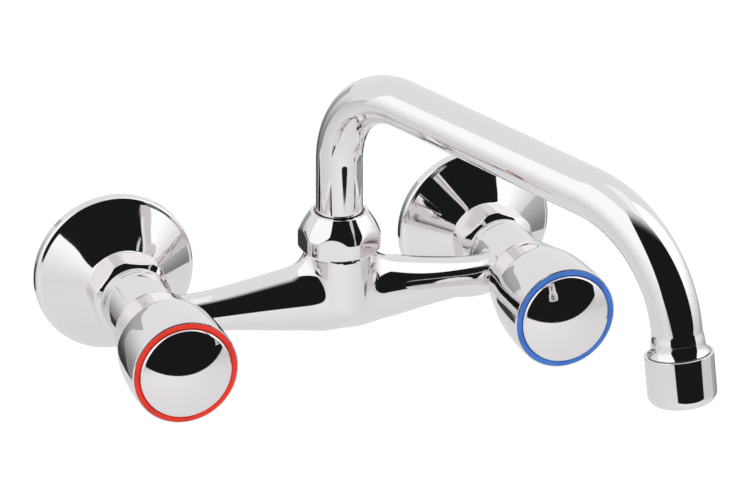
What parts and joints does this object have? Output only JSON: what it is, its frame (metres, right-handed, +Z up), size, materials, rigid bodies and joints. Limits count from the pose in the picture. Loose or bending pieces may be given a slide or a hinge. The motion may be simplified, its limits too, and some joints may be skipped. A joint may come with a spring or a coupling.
{
  "type": "two handle kitchen faucet",
  "caption": "Wall-mounted bridge kitchen mixer in chrome: round tapered grips with hot and cold rings, domed spout nut, and a bent tube spout that swivels and ends in an aerator.",
  "frame": {"origin": "on the wall, midway between the two valve axes", "axes": "+Z up, -Y out of the wall towards the user, +X towards the cold valve"},
  "size_m": [0.2136, 0.2378, 0.1298],
  "materials": {
    "cast_chrome": "polished and chrome-plated brass casting",
    "tube_chrome": "polished and chrome-plated brass tube",
    "pressed_chrome": "chrome-plated pressing",
    "handle_chrome": "chrome-plated grip",
    "hot_red": "moulded red",
    "cold_blue": "moulded blue",
    "raw_brass": "machined",
    "steel": "turned or pressed stainless steel",
    "rubber": "moulded",
    "fibre": "pressed fibre",
    "white_nylon": "moulded",
    "insert_plastic": "moulded"
  },
  "bodies": {
    "mixer_body": {"bridge_body": "cast_chrome", "spout_nut": "cast_chrome", "glide_washer": "white_nylon", "thrust_ring": "white_nylon", "hot_wall_flange": "pressed_chrome", "hot_eccentric_union": "raw_brass", "hot_inlet_washer": "fibre", "hot_tailpiece": "raw_brass", "hot_union_nut": "cast_chrome", "hot_bonnet": "raw_brass", "hot_bonnet_gasket": "fibre", "cold_wall_flange": "pressed_chrome", "cold_eccentric_union": "raw_brass", "cold_inlet_washer": "fibre", "cold_tailpiece": "raw_brass", "cold_union_nut": "cast_chrome", "cold_bonnet": "raw_brass", "cold_bonnet_gasket": "fibre"},
    "spout": {"spout_tube": "tube_chrome", "spout_tail": "raw_brass", "spout_o_rings": "rubber", "aerator_collar": "tube_chrome", "aerator_housing": "tube_chrome", "aerator_gasket": "rubber", "aerator_insert": "insert_plastic", "aerator_mesh": "steel"},
    "hot_handle": {"hot_handle": "handle_chrome", "hot_index_ring": "hot_red", "hot_cap": "handle_chrome", "hot_handle_screw": "steel", "hot_spindle": "raw_brass", "hot_spindle_o_rings": "rubber", "hot_circlip": "steel"},
    "hot_jumper": {"hot_jumper": "raw_brass", "hot_seat_washer": "rubber", "hot_washer_screw": "steel"},
    "cold_handle": {"cold_handle": "handle_chrome", "cold_index_ring": "cold_blue", "cold_cap": "handle_chrome", "cold_handle_screw": "steel", "cold_spindle": "raw_brass", "cold_spindle_o_rings": "rubber", "cold_circlip": "steel"},
    "cold_jumper": {"cold_jumper": "raw_brass", "cold_seat_washer": "rubber", "cold_washer_screw": "steel"}
  },
  "joints": [
    {"name": "spout_swivel", "type": "hinge", "parent": "mixer_body", "child": "spout", "pos_m": [0, -0.0534, 0.03], "axis": [0, 0, 1], "range_deg": [-124.5, 75.5]},
    {"name": "hot_handle_turn", "type": "hinge", "parent": "mixer_body", "child": "hot_handle", "pos_m": [-0.075, -0.075, 0], "axis": [0, -1, 0], "range_deg": [0, 900]},
    {"name": "hot_jumper_slide", "type": "slide", "parent": "mixer_body", "child": "hot_jumper", "axis": [0, -1, 0], "range_m": [0, 0.005]},
    {"name": "cold_handle_turn", "type": "hinge", "parent": "mixer_body", "child": "cold_handle", "pos_m": [0.075, -0.075, 0], "axis": [0, -1, 0], "range_deg": [0, 900]},
    {"name": "cold_jumper_slide", "type": "slide", "parent": "mixer_body", "child": "cold_jumper", "axis": [0, -1, 0], "range_m": [0, 0.005]}
  ],
  "couplings": [
    {"joint": "hot_jumper_slide", "follows": "hot_handle_turn", "m_per_rad": 0.0003183},
    {"joint": "cold_jumper_slide", "follows": "cold_handle_turn", "m_per_rad": 0.0003183}
  ]
}
